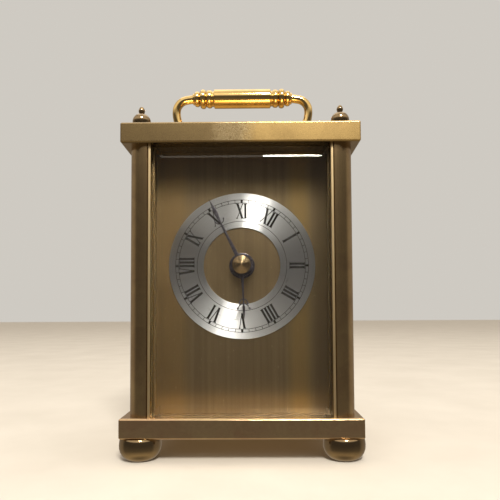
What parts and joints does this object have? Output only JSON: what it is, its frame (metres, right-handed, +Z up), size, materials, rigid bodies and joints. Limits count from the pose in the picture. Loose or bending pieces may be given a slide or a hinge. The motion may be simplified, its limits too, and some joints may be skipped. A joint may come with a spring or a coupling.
{
  "type": "mantel clock",
  "caption": "Brass carriage-style mantel clock with bun feet, corner pillars, bevelled front glass, Roman dial, swinging handle, hinged rear door and quartz movement.",
  "frame": {"origin": "on the ground, under the centre of the case, level with the undersides of the feet", "axes": "+X to the clock's right side seen from the front, +Y from the dial to the rear door, +Z up"},
  "size_m": [0.0966, 0.0764, 0.1608],
  "materials": {
    "brass_polished": "lacquered brass, worn polish",
    "brass_brushed": "vertically brushed, lacquered",
    "silvered_ring": "silvered, circular brushing, black print",
    "blackened_metal": "black lacquer, satin",
    "clear_glass": "polished, bevelled edge",
    "black_plastic": "moulded, fine grain",
    "white_plastic": "moulded acetal",
    "green_board": "solder-masked laminate",
    "copper_winding": "enamelled copper wire",
    "cell_sleeve": "printed sleeve, plain, semi-gloss",
    "plated_steel": "nickel plated"
  },
  "bodies": {
    "case": {"base_plate": "brass_polished", "top_plate": "brass_polished", "pillar_front_left": "brass_polished", "pillar_front_right": "brass_polished", "pillar_rear_left": "brass_polished", "pillar_rear_right": "brass_polished", "foot_front_left": "brass_polished", "foot_front_right": "brass_polished", "foot_rear_left": "brass_polished", "foot_rear_right": "brass_polished", "finial_front_left": "brass_polished", "finial_front_right": "brass_polished", "finial_rear_left": "brass_polished", "finial_rear_right": "brass_polished", "handle_post_left": "brass_polished", "handle_post_right": "brass_polished", "handle_screw_left": "brass_polished", "handle_screw_right": "brass_polished", "side_panel_left": "brass_brushed", "side_panel_right": "brass_brushed", "dial_plate": "brass_brushed", "front_glass": "clear_glass", "chapter_ring": "silvered_ring", "fixing_washer": "blackened_metal", "fixing_nut": "blackened_metal", "door_magnet": "blackened_metal", "movement_case": "black_plastic", "movement_cover": "black_plastic", "circuit_board": "green_board", "drive_coil": "copper_winding", "contact_positive": "plated_steel", "contact_negative": "plated_steel"},
    "handle": {"handle_grip": "brass_polished", "handle_arm_left": "brass_polished", "handle_arm_right": "brass_polished"},
    "minute_hand": {"minute_hand": "blackened_metal", "hand_nut": "brass_polished", "minute_arbor": "brass_polished", "centre_wheel": "white_plastic"},
    "hour_hand": {"hour_hand": "blackened_metal", "hour_wheel": "brass_polished"},
    "setting_knob": {"setting_knob": "black_plastic", "minute_wheel": "white_plastic"},
    "third_wheel": {"third_wheel": "white_plastic"},
    "seconds_wheel": {"seconds_wheel": "white_plastic"},
    "battery": {"battery": "cell_sleeve"},
    "rear_door": {"rear_door": "brass_brushed", "door_pin_upper": "brass_polished", "door_pin_lower": "brass_polished", "door_knob": "brass_polished", "door_strike": "plated_steel"}
  },
  "joints": [
    {"name": "handle_swing", "type": "hinge", "parent": "case", "child": "handle", "pos_m": [0, 0, 0.137], "axis": [1, 0, 0], "range_deg": [-88, 88]},
    {"name": "minute_hand_turn", "type": "hinge", "parent": "case", "child": "minute_hand", "pos_m": [0, -0.022, 0.0767], "axis": [0, 1, 0], "continuous": true},
    {"name": "hour_hand_turn", "type": "hinge", "parent": "case", "child": "hour_hand", "pos_m": [0, -0.022, 0.0767], "axis": [0, 1, 0], "continuous": true},
    {"name": "setting_knob_turn", "type": "hinge", "parent": "case", "child": "setting_knob", "pos_m": [0, -0.0017, 0.0887], "axis": [0, 1, 0], "continuous": true},
    {"name": "third_wheel_turn", "type": "hinge", "parent": "case", "child": "third_wheel", "pos_m": [0.012, -0.009, 0.0767], "axis": [0, 1, 0], "continuous": true},
    {"name": "seconds_wheel_turn", "type": "hinge", "parent": "case", "child": "seconds_wheel", "pos_m": [0, -0.006, 0.0767], "axis": [0, 1, 0], "continuous": true},
    {"name": "battery_slide", "type": "slide", "parent": "case", "child": "battery", "axis": [0, 1, 0], "range_m": [0, 0.02]},
    {"name": "rear_door_swing", "type": "hinge", "parent": "case", "child": "rear_door", "pos_m": [0.0336, 0.0329, 0.0698], "axis": [0, 0, -1], "range_deg": [0, 100]}
  ],
  "couplings": [
    {"joint": "hour_hand_turn", "follows": "minute_hand_turn", "ratio": 0.083333},
    {"joint": "setting_knob_turn", "follows": "minute_hand_turn", "ratio": -0.33333},
    {"joint": "third_wheel_turn", "follows": "minute_hand_turn", "ratio": -8},
    {"joint": "seconds_wheel_turn", "follows": "minute_hand_turn", "ratio": 60}
  ]
}
